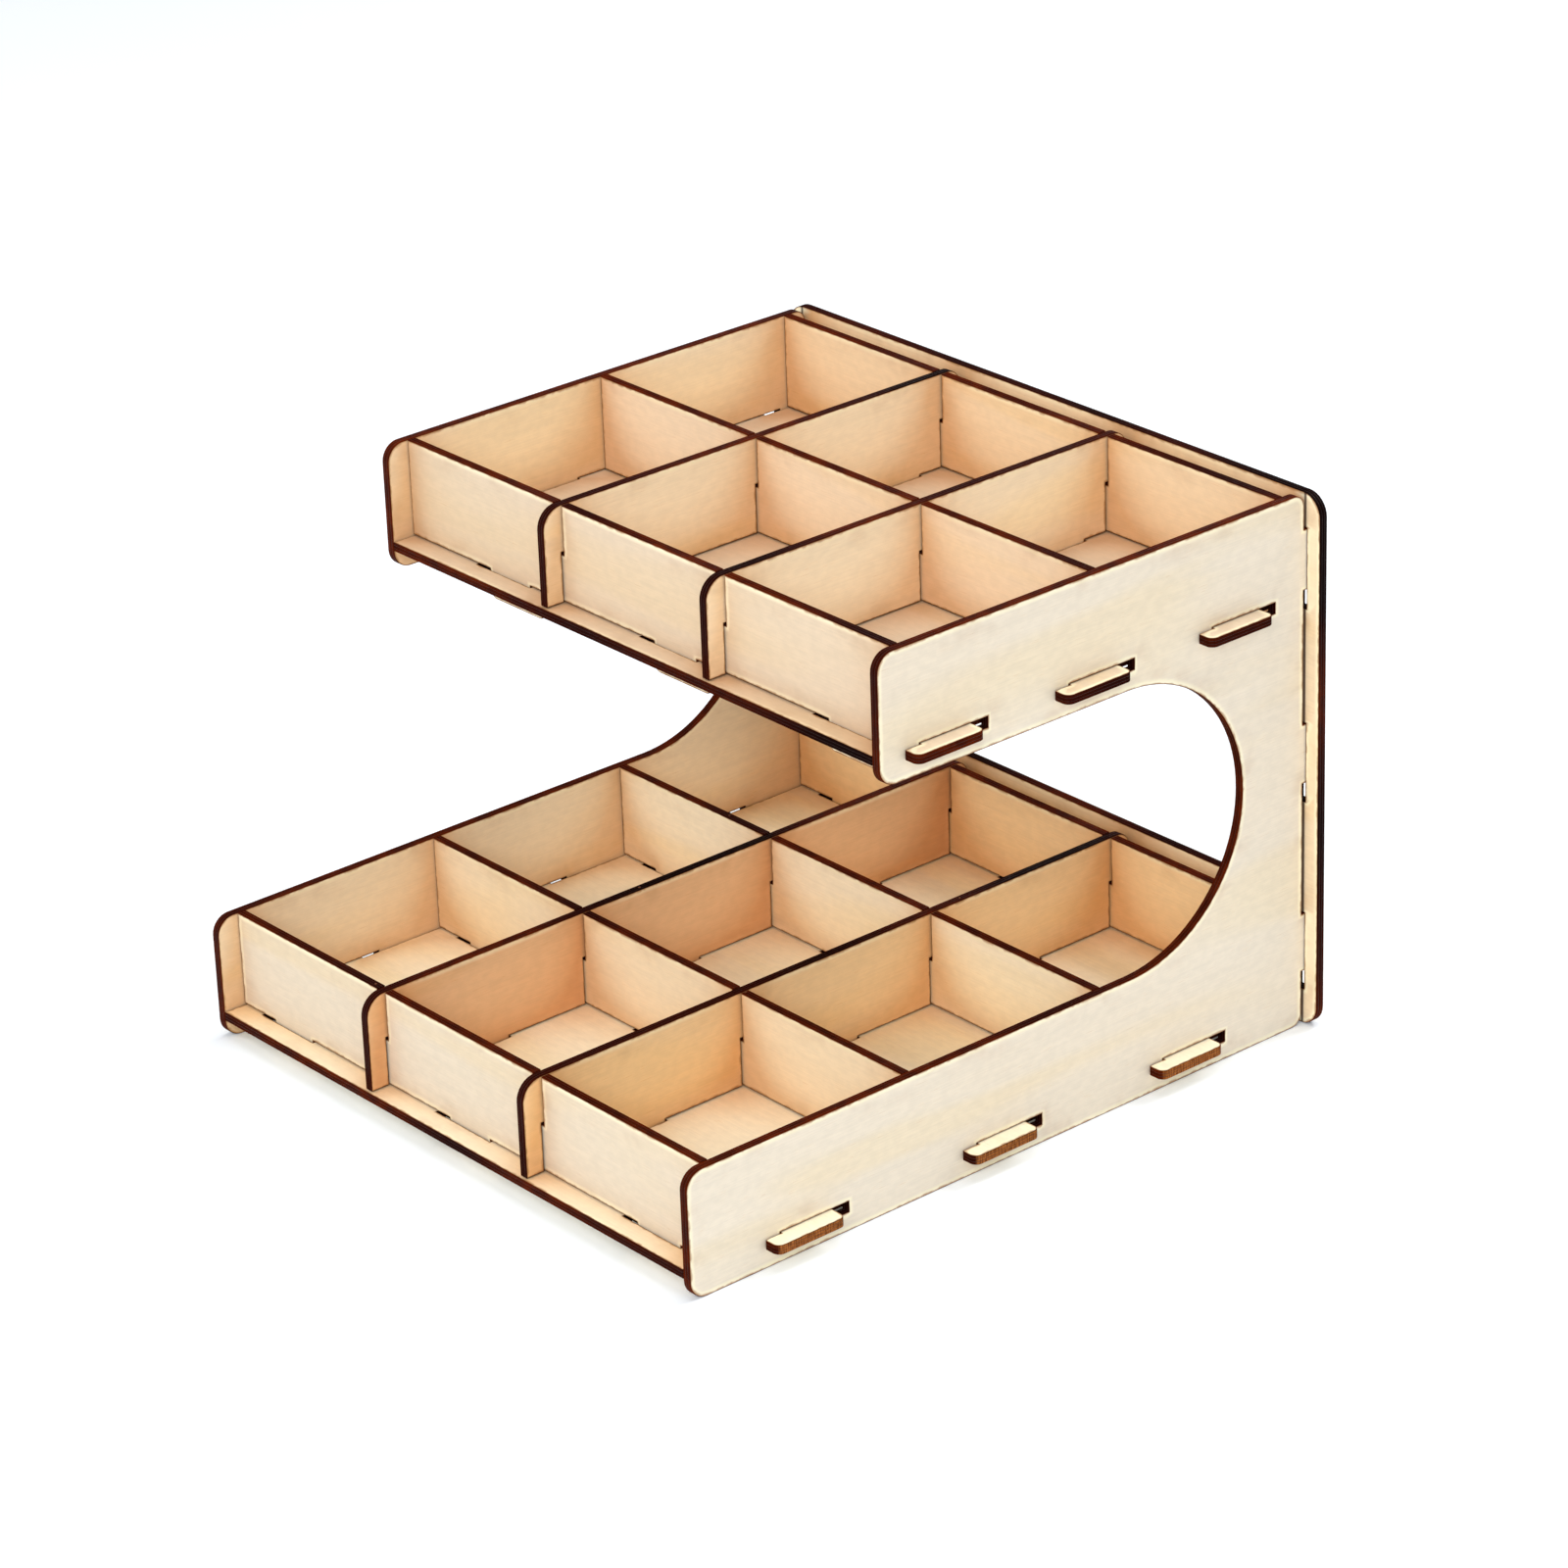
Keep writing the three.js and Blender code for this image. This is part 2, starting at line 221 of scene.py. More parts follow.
class Graph:
    """Adds nodes to a tree and links them."""

    def __init__(self, tree):
        self.tree = tree

    def node(self, kind, inputs=(), **settings):
        """A new node with these settings, and its inputs fed by name or number."""
        made = self.tree.nodes.new(kind)
        for name, value in settings.items():
            setattr(made, name, value)
        for label, value in dict(inputs).items():
            self.feed(made.inputs[label], value)
        return made

    def feed(self, socket, value):
        if isinstance(value, bpy.types.NodeSocket):
            self.tree.links.new(value, socket)
        elif socket.type == "RGBA":
            socket.default_value = (*value[:3], 1.0)
        else:
            socket.default_value = value

    def math(self, operation, first, second=0.0):
        return self.node("ShaderNodeMath", {0: first, 1: second}, operation=operation).outputs[0]

    def times(self, first, second):
        return self.math("MULTIPLY", first, second)

    def scaled(self, vector, factors):
        return self.node("ShaderNodeVectorMath", {0: vector, 1: factors}, operation="MULTIPLY").outputs[0]

    def parts(self, vector):
        return self.node("ShaderNodeSeparateXYZ", {0: vector}).outputs

    def noise(self, vector, stretch, detail=2.0, distortion=0.0):
        """Noise from 0 to 1, with stretch cells to the metre along and across."""
        return self.node("ShaderNodeTexNoise", {
            "Vector": self.scaled(vector, (*stretch, 0.0)), "Scale": 1.0, "Detail": detail,
            "Distortion": distortion}, noise_dimensions="2D").outputs["Fac"]

    def ramp(self, value, low, high, start=0.0, end=1.0):
        """Smooth change from start to end as value goes from low to high."""
        return self.node("ShaderNodeMapRange", {
            "Value": value, "From Min": low, "From Max": high, "To Min": start, "To Max": end,
        }, interpolation_type="SMOOTHSTEP").outputs["Result"]

    def mix(self, factor, first, second, blend="MIX"):
        return self.node("ShaderNodeMix", {"Factor": factor, 6: first, 7: second},
                         data_type="RGBA", blend_type=blend, clamp_factor=True).outputs[2]


def new_group(name, inputs, outputs):
    """An empty shader group with these sockets, its graph, and its two end nodes."""
    tree = bpy.data.node_groups.new(name, "ShaderNodeTree")
    for label, kind, default in inputs:
        socket = tree.interface.new_socket(label, in_out="INPUT", socket_type=kind)
        if default is not None:
            socket.default_value = default
    for label, kind in outputs:
        tree.interface.new_socket(label, in_out="OUTPUT", socket_type=kind)
    graph = Graph(tree)
    return graph, graph.node("NodeGroupInput").outputs, graph.node("NodeGroupOutput").inputs


def veneer_group():
    """Basswood figure: broad warm patches, growth bands, fibres, pores and mineral streaks."""
    graph, given, made = new_group(
        "Basswood Figure",
        (("Place", VECTOR, None), ("Veneer", COLOUR, WHITE),
         ("Warm", COLOUR, WHITE), ("Streak", COLOUR, WHITE),
         ("Pore", COLOUR, WHITE), ("Figure", NUMBER, 0.6)),
        (("Color", COLOUR), ("Height", NUMBER), ("Gloss", NUMBER)))
    place = given["Place"]
    figure = given["Figure"]
    patches = graph.noise(place, (5.0, 14.0), detail=2.0, distortion=0.6)
    sheet = graph.noise(place, (1.3, 1.7), detail=0.0)
    bands = graph.noise(place, (2.2, 130.0), detail=3.0, distortion=0.35)
    fibres = graph.noise(place, (26.0, 2100.0), detail=3.0)
    pores = graph.noise(place, (120.0, 3600.0), detail=1.0)
    mottle = graph.noise(place, (240.0, 420.0), detail=2.0)
    streaks = graph.noise(place, (6.0, 40.0), detail=1.0, distortion=0.5)
    warmth = graph.math("ADD", graph.ramp(patches, 0.35, 0.75, 0.0, 0.55),
                        graph.ramp(sheet, 0.3, 0.7, 0.0, 0.35))
    colour = graph.mix(graph.times(warmth, figure), given["Veneer"], given["Warm"], "MULTIPLY")
    colour = graph.mix(graph.times(graph.ramp(streaks, 0.50, 0.74), figure),
                       colour, given["Streak"], "MULTIPLY")
    shade = graph.ramp(bands, 0.3, 0.7, 0.985, 1.01)
    shade = graph.times(shade, graph.ramp(fibres, 0.25, 0.75, 0.975, 1.02))
    shade = graph.times(shade, graph.ramp(mottle, 0.3, 0.7, 0.97, 1.02))
    colour = graph.mix(1.0, colour, shade, blend="MULTIPLY")
    marks = graph.times(graph.ramp(pores, 0.66, 0.80), graph.ramp(mottle, 0.45, 0.60))
    colour = graph.mix(graph.times(marks, figure), colour, given["Pore"], "MULTIPLY")
    graph.feed(made["Color"], colour)
    graph.feed(made["Height"], graph.math("SUBTRACT", fibres, graph.times(marks, 0.8)))
    graph.feed(made["Gloss"], graph.ramp(bands, 0.3, 0.7, -0.05, 0.05))
    return graph.tree


def scorch_and_painted_shade_group():
    """What a cut does to the face beside it, and the painted shade in the corners of the cells.

    From the cut inwards: a black line, a browned band and a pale halo; the halo fades in the painted shade.
    """
    graph, given, made = new_group(
        "Laser Scorch and Painted Shade",
        (("Place", VECTOR, None), ("Distance", NUMBER, 1.0),
         ("Veneer", COLOUR, WHITE), ("Char", COLOUR, WHITE),
         ("Toast", COLOUR, WHITE), ("Bleach", COLOUR, WHITE),
         ("Line", NUMBER, 0.0002), ("Band", NUMBER, 0.0009),
         ("Halo", NUMBER, 0.0024), ("Corner", COLOUR, WHITE),
         ("Painted Shade", NUMBER, 0.0)),
        (("Color", COLOUR), ("Burn", NUMBER)))
    place = given["Place"]
    wander = graph.ramp(graph.noise(place, (310.0, 310.0), detail=2.0), 0.3, 0.7, 0.7, 1.35)
    heat = graph.ramp(graph.noise(place, (28.0, 28.0), detail=1.0), 0.3, 0.7, 0.75, 1.3)
    distance = graph.math("DIVIDE", given["Distance"], graph.times(wander, heat))
    line = graph.ramp(distance, 0.0, given["Line"], 1.0, 0.0)
    band = graph.ramp(distance, graph.times(given["Line"], 0.5), given["Band"], 0.95, 0.0)
    halo = graph.times(graph.ramp(given["Distance"], given["Band"], given["Halo"], 0.6, 0.0),
                       graph.ramp(given["Painted Shade"], 0.0, 0.6, 1.0, 0.15))
    smoke = graph.times(graph.ramp(graph.noise(place, (70.0, 90.0), detail=3.0), 0.5, 0.75),
                        graph.ramp(given["Distance"], 0.001, 0.009, 0.16, 0.0))
    colour = graph.mix(halo, given["Veneer"], given["Bleach"])
    # Painted shade: the corner tint darkens the faces deep in the corners of the cells.
    colour = graph.mix(given["Painted Shade"], colour, given["Corner"], "MULTIPLY")
    colour = graph.mix(smoke, colour, given["Toast"])
    colour = graph.mix(band, colour, given["Toast"])
    colour = graph.mix(line, colour, given["Char"])
    graph.feed(made["Color"], colour)
    graph.feed(made["Burn"], graph.math("MAXIMUM", line, graph.times(band, 0.5)))
    return graph.tree


def cut_group():
    """The burnt cut itself: plies, striations, and black stretches among reddish brown ones."""
    graph, given, made = new_group(
        "Burnt Cut",
        (("Place", VECTOR, None), ("Char", COLOUR, WHITE),
         ("Umber", COLOUR, WHITE), ("Rust", COLOUR, WHITE),
         ("Core", NUMBER, 0.0005), ("Redness", NUMBER, 0.5)),
        (("Color", COLOUR), ("Height", NUMBER), ("Roughness", NUMBER)))
    place = given["Place"]
    depth = graph.math("ABSOLUTE", graph.parts(place)["Y"])
    stretches = graph.noise(place, (11.0, 0.0), detail=1.0)
    patches = graph.noise(place, (120.0, 260.0), detail=2.0)
    striations = graph.noise(place, (3300.0, 120.0), detail=1.0)
    fibres = graph.noise(place, (260.0, 5200.0), detail=2.0)
    heat = graph.math("ADD", stretches, graph.ramp(given["Redness"], 0.0, 1.0, -0.12, 0.22))
    colour = graph.mix(graph.ramp(heat, 0.34, 0.50), given["Char"], given["Umber"])
    lighter = graph.times(graph.ramp(heat, 0.46, 0.68), graph.ramp(patches, 0.30, 0.70, 0.3, 1.0))
    colour = graph.mix(lighter, colour, given["Rust"])
    core = graph.ramp(depth, graph.times(given["Core"], 0.9),
                      graph.times(given["Core"], 1.1), 0.80, 1.0)
    shade = graph.times(core, graph.ramp(striations, 0.3, 0.7, 0.75, 1.2))
    shade = graph.times(shade, graph.ramp(fibres, 0.3, 0.7, 0.85, 1.12))
    colour = graph.mix(1.0, colour, shade, blend="MULTIPLY")
    graph.feed(made["Color"], colour)
    graph.feed(made["Height"], graph.math("ADD", striations, graph.times(fibres, 0.5)))
    graph.feed(made["Roughness"], graph.ramp(patches, 0.3, 0.7, 0.48, 0.72))
    return graph.tree


# ---------------------------------------------------------------- materials

def shared_group(make, name):
    """The named group, made the first time that it is asked for."""
    return bpy.data.node_groups.get(name) or make()


def new_material(name):
    """A new material, its graph and its Principled shader."""
    made = bpy.data.materials.new(name)
    made.use_nodes = True
    return made, Graph(made.node_tree), made.node_tree.nodes["Principled BSDF"]


def own_place(graph):
    """The piece's own place along the cut or face."""
    return graph.node("ShaderNodeUVMap", uv_map=UV_NAME).outputs["UV"]


def bump(graph, shader, height, depth, strength):
    made = graph.node("ShaderNodeBump", {"Distance": depth, "Strength": strength, "Height": height})
    graph.feed(shader.inputs["Normal"], made.outputs["Normal"])


def painted_gap_shade(graph, width):
    """Mask of the painted shade on the back panel's front: a dark band where the side panels' rear edges
    meet it, standing in for the shade in the narrow gap there.
    """
    across, depth, _ = graph.parts(graph.node("ShaderNodeTexCoord").outputs["Object"])
    outside = BOXES["right_side_panel"][1][0] - width / 2
    middle = BOXES["back_panel"][:, 1].mean()
    away = graph.math("ABSOLUTE", graph.math("SUBTRACT", graph.math("ABSOLUTE", across), outside))
    return graph.times(graph.ramp(away, 0.25 * width, 0.75 * width, 0.85, 0.0),
                       graph.math("LESS_THAN", depth, middle))


def veneer_material(name, veneer, gap_shaded=False):
    """A bare veneer face, scorched beside its cuts, with painted shade in the corners of the cells and,
    where asked, painted shade where the side panels meet the back panel.
    """
    found = bpy.data.materials.get(name)
    if found:
        return found
    scene = bpy.context.scene
    wood, scorch = scene.rack_veneer, scene.rack_scorch
    made, graph, shader = new_material(name)
    place = own_place(graph)
    figure = graph.node("ShaderNodeGroup", {
        "Place": place, "Veneer": veneer, "Warm": wood.warm, "Streak": wood.streak, "Pore": wood.pore,
        "Figure": wood.contrast,
    }, node_tree=shared_group(veneer_group, "Basswood Figure"))
    # Painted shade in the corners of the cells, read from each point.
    distance, painted_shade = (graph.node("ShaderNodeAttribute", attribute_name=attribute).outputs["Fac"]
                         for attribute in (DISTANCE_NAME, PAINTED_SHADE_NAME))
    beside = graph.node("ShaderNodeGroup", {
        "Place": place, "Distance": distance, "Veneer": figure.outputs["Color"], "Char": scorch.umber,
        "Toast": scorch.toast, "Bleach": scorch.bleach, "Line": scorch.line, "Band": scorch.band,
        "Halo": scorch.halo, "Corner": wood.corner, "Painted Shade": painted_shade,
    }, node_tree=shared_group(scorch_and_painted_shade_group, "Laser Scorch and Painted Shade"))
    colour = beside.outputs["Color"]
    # Painted shade: a dark band on the back panel where the side panels' rear edges meet it.
    if gap_shaded:
        colour = graph.mix(painted_gap_shade(graph, scorch.gap_shade_width), colour, scorch.umber)
    graph.feed(shader.inputs["Base Color"], colour)
    burn = graph.ramp(beside.outputs["Burn"], 0.0, 1.0, 0.66, 0.8)
    graph.feed(shader.inputs["Roughness"], graph.math("ADD", burn, figure.outputs["Gloss"]))
    shader.inputs["Specular IOR Level"].default_value = FACE_SPECULAR
    bump(graph, shader, figure.outputs["Height"], *FIBRE_RELIEF)
    return made


def cut_material(name, redness, singed=False):
    """The burnt edge of a sheet, with more or less of it reddish brown.

    Where singed says so, the hooks outside the side panels are hardly charred, except at their
    rounded ends, where the beam slows down to turn.
    """
    found = bpy.data.materials.get(name)
    if found:
        return found
    scene = bpy.context.scene
    scorch = scene.rack_scorch
    made, graph, shader = new_material(name)
    burnt = graph.node("ShaderNodeGroup", {
        "Place": own_place(graph), "Char": scorch.char, "Umber": scorch.umber, "Rust": scorch.rust,
        "Core": scene.rack_sheet.ply * SHEET / 2, "Redness": redness,
    }, node_tree=shared_group(cut_group, "Burnt Cut"))
    colour = burnt.outputs["Color"]
    if singed:
        given = graph.node("ShaderNodeTexCoord").outputs
        across, facing = (graph.math("ABSOLUTE", graph.parts(given[label])["X"])
                          for label in ("Object", "Normal"))
        outside = graph.math("GREATER_THAN", across, float(BOXES["right_side_panel"][1][0]))
        light = graph.times(graph.ramp(facing, 0.6, 0.97),
                            graph.ramp(burnt.outputs["Height"], 0.60, 0.90, 0.2, 1.0))
        colour = graph.mix(graph.times(outside, light), colour, scorch.singed)
    graph.feed(shader.inputs["Base Color"], colour)
    graph.feed(shader.inputs["Roughness"], burnt.outputs["Roughness"])
    shader.inputs["Specular IOR Level"].default_value = CUT_SPECULAR
    bump(graph, shader, burnt.outputs["Height"], *STRIATION_RELIEF)
    return made


def speckled_material(name, cells, stretch, colours, roughness, relief):
    """Fine noise of so many cells to the metre, between two colours and two roughnesses."""
    found = bpy.data.materials.get(name)
    if found:
        return found
    made, graph, shader = new_material(name)
    place = graph.node("ShaderNodeTexCoord").outputs["Object"]
    speckle = graph.node("ShaderNodeTexNoise", {
        "Vector": graph.scaled(place, stretch), "Scale": cells}).outputs["Fac"]
    graph.feed(shader.inputs["Base Color"], graph.mix(graph.ramp(speckle, 0.4, 0.7), *colours))
    graph.feed(shader.inputs["Roughness"], graph.ramp(speckle, 0.3, 0.7, *roughness))
    bump(graph, shader, speckle, *relief)
    return made


def glue_material():
    """Hardened glue between two plies, glossy and nearly black."""
    scorch = bpy.context.scene.rack_scorch
    return speckled_material("glue_line", 900.0, (1.0, 1.0, 1.0), (scorch.char, scorch.umber),
                             (0.3, 0.55), GLUE_RELIEF)


def stub_material():
    """Torn fibres where a tab was snapped off, toasted at the sides."""
    scorch = bpy.context.scene.rack_scorch
    return speckled_material("torn_fibres", 1400.0, (2.0, 2.0, 5.0), (scorch.rust, scorch.toast),
                             (0.7, 0.9), TORN_RELIEF)


# ---------------------------------------------------------------- cut sheets

def linked(name, data):
    """A new object in the scene that holds data."""
    made = bpy.data.objects.new(name, data)
    bpy.context.collection.objects.link(made)
    return made


def thin_axis(node):
    return int(np.argmin(np.ptp(BOXES[node], axis=0)))


SHEET = float(np.ptp(BOXES["back_panel"], axis=0).min())


def outline_rings(node):
    """The outline and the holes of a flat node, in mm on its own plane, with the sheet on their left."""
    axis = thin_axis(node)
    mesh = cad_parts[node].data
    points = np.array([vertex.co for vertex in mesh.vertices]) / MM
    mesh.calc_loop_triangles()
    triangles = np.array([triangle.vertices for triangle in mesh.loop_triangles])
    unique, index = np.unique(np.round(points, DECIMALS), axis=0, return_inverse=True)
    triangles = index.reshape(-1)[triangles]
    top = unique[:, axis].max()
    on_top = (np.abs(unique[triangles][:, :, axis] - top) < LEVEL).all(axis=1)
    edges = {(int(t[i]), int(t[(i + 1) % 3])) for t in triangles[on_top] for i in range(3)}
    following = {a: b for a, b in edges if (b, a) not in edges}
    plane = unique[:, ((axis + 1) % 3, (axis + 2) % 3)]
    rings = []
    while following:
        start = min(following)
        chain = [start]
        step = following.pop(start)
        while step != start:
            chain.append(step)
            step = following.pop(step)
        rings.append(without_straight_points(plane[chain]))
    return rings


def without_straight_points(ring):
    """The ring's true corners."""
    before = ring - np.roll(ring, 1, axis=0)
    after = np.roll(ring, -1, axis=0) - ring
    turn = before[:, 0] * after[:, 1] - before[:, 1] * after[:, 0]
    size = np.linalg.norm(before, axis=1) * np.linalg.norm(after, axis=1)
    return ring[np.abs(turn) > TOLERANCE * size]


def with_steps(ring):
    """The ring with its long edges divided."""
    points = []
    for start, end in zip(ring, np.roll(ring, -1, axis=0)):
        count = max(1, math.ceil(float(np.linalg.norm(end - start)) / EDGE_STEP))
        points.extend(start + (end - start) * step / count for step in range(count))
    return np.array(points)


def inward(ring):
    """For each point, the way that keeps a unit inset from both of its edges."""
    ahead = np.roll(ring, -1, axis=0) - ring
    ahead /= np.linalg.norm(ahead, axis=1)[:, None]
    left = np.stack([-ahead[:, 1], ahead[:, 0]], axis=1)
    behind = np.roll(left, 1, axis=0)
    return (left + behind) / (1.0 + (left * behind).sum(axis=1))[:, None]


def distance_to(rings, points):
    """Distance from each point to the nearest edge of the rings."""
    best = np.full(len(points), np.inf)
    for ring in rings:
        for start, end in zip(ring, np.roll(ring, -1, axis=0)):
            edge = end - start
            share = np.clip(((points - start) @ edge) / (edge @ edge), 0.0, 1.0)
            best = np.minimum(best, np.linalg.norm(points - start - share[:, None] * edge, axis=1))
    return best


def inside(rings, points):
    """Whether each point is on the sheet."""
    crossings = np.zeros(len(points), dtype=int)
    for ring in rings:
        for (x0, y0), (x1, y1) in zip(ring, np.roll(ring, -1, axis=0)):
            between = (y0 > points[:, 1]) != (y1 > points[:, 1])
            if y1 != y0:
                crossings += between & (points[:, 0] < x0 + (points[:, 1] - y0) * (x1 - x0) / (y1 - y0))
    return crossings % 2 == 1


def face_points(rings, stepped):
    """Points over a face, close together near its edges."""
    found = []
    for inset in RING_INSETS:
        for ring in stepped:
            candidates = ring + inward(ring) * inset
            good = inside(rings, candidates) & (distance_to(rings, candidates) > NEAR * inset)
            found.append(candidates[good])
    low = np.min([ring.min(axis=0) for ring in rings], axis=0)
    high = np.max([ring.max(axis=0) for ring in rings], axis=0)
    across, up = (np.arange(low[i] + GRID_STEP / 2, high[i], GRID_STEP) for i in (0, 1))
    grid = np.stack(np.meshgrid(across, up), axis=-1).reshape(-1, 2)
    grid = grid[inside(rings, grid)]
    found.append(grid[distance_to(rings, grid) > RING_INSETS[-2]])
    return np.concatenate(found)


def painted_shade_at(node, axis, side, points):
    """How much painted shade each point of a face takes for lying deep in a corner, from 0 in the open, for
    a face looking to side.

    Only the sheets that stand out on that side count, and the further they stand out, the more.
    Outside the side panels and underneath, everything is in the open.
    """
    if axis == 2 and side < 0:
        return np.zeros(len(points))
    reach = bpy.context.scene.rack_veneer.reach
    left, right = BOXES["left_side_panel"][1][0], BOXES["right_side_panel"][0][0]
    face = points[0][axis]
    total = np.zeros(len(points))
    for other, (low, high) in BOXES.items():
        if thin_axis(other) != 0:
            low, high = low.copy(), high.copy()
            low[0], high[0] = max(low[0], left), min(high[0], right)
        proud = high[axis] - face if side > 0 else face - low[axis]
        if other == node or proud < SHEET:
            continue
        away = np.linalg.norm(np.maximum(0.0, np.maximum(low - points, points - high)), axis=1)
        total += (1.0 - math.exp(-proud / (PROUD_SHARE * reach))) * np.exp(-away / reach)
    total[(points[:, 0] < left - SHEET / 2) | (points[:, 0] > right + SHEET / 2)] = 0.0
    return np.minimum(1.0, total ** PAINTED_SHADE_POWER)


def cut_profile():
    """The cut from one face to the other, as (height, inset) in mm.

    It passes the arris, which is worn in two bevels, then the ply, the glue line's groove and the core.
    """
    sheet = bpy.context.scene.rack_sheet
    half = SHEET / MM / 2
    arris = sheet.arris / MM
    groove = sheet.groove / MM
    glue = half * sheet.ply
    upper = [(half, arris), (half - 0.7 * arris, 0.15 * arris), (half - 1.5 * arris, 0.0),
             (glue + 2 * groove, 0.0), (glue, groove), (glue - 2 * groove, 0.0)]
    return upper + [(-height, inset) for height, inset in reversed(upper)]


def face_triangles(rim, inner, starts, links):
    """Triangles over a face, as numbers of its rim points and then its inner points.

    starts says where each ring of the rim begins and ends, and links joins the rim's neighbours.
    """
    flat = [Vector(point) for point in np.concatenate([rim, inner])]
    placed, _, faces, sources, _, _ = delaunay_2d_cdt(flat, links, [], 0, TOLERANCE)
    corners = np.array([[sources[i][0] for i in face] for face in faces])
    middles = np.array([[sum(placed[i][k] for i in face) / 3 for k in (0, 1)] for face in faces])
    return corners[inside([rim[a:b] for a, b in zip(starts, starts[1:])], middles)]


def cut_sheet(name, node, grain_axis, materials, number):
    """A sheet cut to a node's outline, with finely divided faces and a profiled, burnt edge.

    materials are those of its faces, its cut and the cut inside its slots.
    number picks the sheet's own place on the veneer. Its UV map runs along and across the grain on
    the faces, and along and through the cut on the edge, in metres.
    """
    rings = outline_rings(node)
    stepped = [with_steps(ring) for ring in rings]
    profile = cut_profile()
    outline = np.concatenate(stepped)
    miters = np.concatenate([inward(ring) for ring in stepped])
    inner = face_points(rings, stepped)
    count, extra = len(outline), len(inner)

    rim = outline + miters * profile[0][1]
    starts = np.cumsum([0] + [len(ring) for ring in stepped])
    links = [(int(a + i), int(a + (i + 1) % (b - a)))
             for a, b in zip(starts, starts[1:]) for i in range(b - a)]
    corners = face_triangles(rim, inner, starts, links)

    axis = thin_axis(node)
    middle = BOXES[node][:, axis].mean() / MM
    half = profile[0][0]

    def at(plane, height):
        place = np.zeros((len(plane), 3))
        place[:, (axis + 1) % 3] = plane[:, 0]
        place[:, (axis + 2) % 3] = plane[:, 1]
        place[:, axis] = middle + height
        return place

    layers = [at(outline + miters * inset, height) for height, inset in profile]
    points = np.concatenate([*layers, at(inner, half), at(inner, -half)]) * MM
    rows = len(profile)
    top = np.where(corners < count, corners, corners - count + rows * count)
    bottom = np.where(corners < count, corners + (rows - 1) * count, corners - count + rows * count + extra)
    polygons = [tuple(map(int, face)) for face in top]
    polygons += [tuple(map(int, face[::-1])) for face in bottom]
    flat_count = len(polygons)
    lengths = run_lengths(stepped)
    slots = np.concatenate([len(ring) * [lengths[first + len(ring) - 1][1] < LONGEST_SLOT_RIM]
                            for ring, first in zip(stepped, starts)])
    walls = []
    for row in range(rows - 1):
        for start, (a, b) in enumerate(links):
            polygons.append((row * count + a, (row + 1) * count + a, (row + 1) * count + b, row * count + b))
            walls.append((lengths[start], profile[row][0], profile[row + 1][0]))

    mesh = bpy.data.meshes.new(name)
    mesh.from_pydata(points.tolist(), [], polygons)
    piece = linked(name, mesh)
    for material in materials:
        mesh.materials.append(material)
    mesh.polygons.foreach_set("material_index", [0] * flat_count + (1 + np.tile(slots, rows - 1)).tolist())
    mesh.polygons.foreach_set("use_smooth", [False] * flat_count + [True] * len(walls))

    distance = np.concatenate([np.zeros(rows * count), np.tile(distance_to(rings, inner), 2)]) * MM
    mesh.attributes.new(DISTANCE_NAME, "FLOAT", "POINT").data.foreach_set("value", distance)
    # Painted shade in the corners of the cells, stored on the points of both faces.
    painted_shade = np.zeros(len(points))
    for side, rim_row, first in ((1, 0, rows * count), (-1, rows - 1, rows * count + extra)):
        for chosen in (slice(rim_row * count, (rim_row + 1) * count), slice(first, first + extra)):
            painted_shade[chosen] = painted_shade_at(node, axis, side, points[chosen])
    mesh.attributes.new(PAINTED_SHADE_NAME, "FLOAT", "POINT").data.foreach_set("value", painted_shade)

    shift = np.array(GRAIN_SHIFT) * (number + 1)
    across_axis = 3 - axis - grain_axis
    corner_points = points[np.concatenate([top, bottom[:, ::-1]]).reshape(-1)]
    face_uv = corner_points[:, (grain_axis, across_axis)] + shift
    wall_uv = [(along, height * MM) for (start, end), upper, lower in walls
               for along, height in ((start, upper), (start, lower), (end, lower), (end, upper))]
    wall_uv = np.array(wall_uv) + np.array([shift[0], 0.0])
    mesh.uv_layers.new(name=UV_NAME).data.foreach_set("uv", np.concatenate([face_uv, wall_uv]).reshape(-1))
    mesh.set_sharp_from_angle(angle=CREASE)
    mesh.validate()
    return piece


def run_lengths(stepped):
    """Where each edge of the rings starts and ends, measured along its ring, in metres."""
    found = []
    for ring in stepped:
        ends = np.cumsum(np.linalg.norm(np.roll(ring, -1, axis=0) - ring, axis=1)) * MM
        found.extend(zip(np.concatenate([[0.0], ends[:-1]]), ends))
    return found


def finish_piece(piece, *nodes):
    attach(piece, BODY)
    if nodes:
        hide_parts(*nodes)


# ---------------------------------------------------------------- geometry nodes

def new_modifier_tree(name, inputs):
    """An empty geometry tree that takes a geometry and these inputs and gives a geometry."""
    tree = bpy.data.node_groups.new(name, "GeometryNodeTree")
    tree.interface.new_socket("Geometry", in_out="INPUT", socket_type="NodeSocketGeometry")
    for label, kind in inputs:
        tree.interface.new_socket(label, in_out="INPUT", socket_type=kind)
    tree.interface.new_socket("Geometry", in_out="OUTPUT", socket_type="NodeSocketGeometry")
    graph = Graph(tree)
    return graph, graph.node("NodeGroupInput").outputs, graph.node("NodeGroupOutput").inputs


def close_tree(graph, geometry, material, output):
    """Ends a tree in real geometry with its material."""
    real = graph.node("GeometryNodeRealizeInstances", {"Geometry": geometry})
    painted = graph.node("GeometryNodeSetMaterial", {
        "Geometry": real.outputs["Geometry"], "Material": material})
    graph.feed(output["Geometry"], painted.outputs["Geometry"])


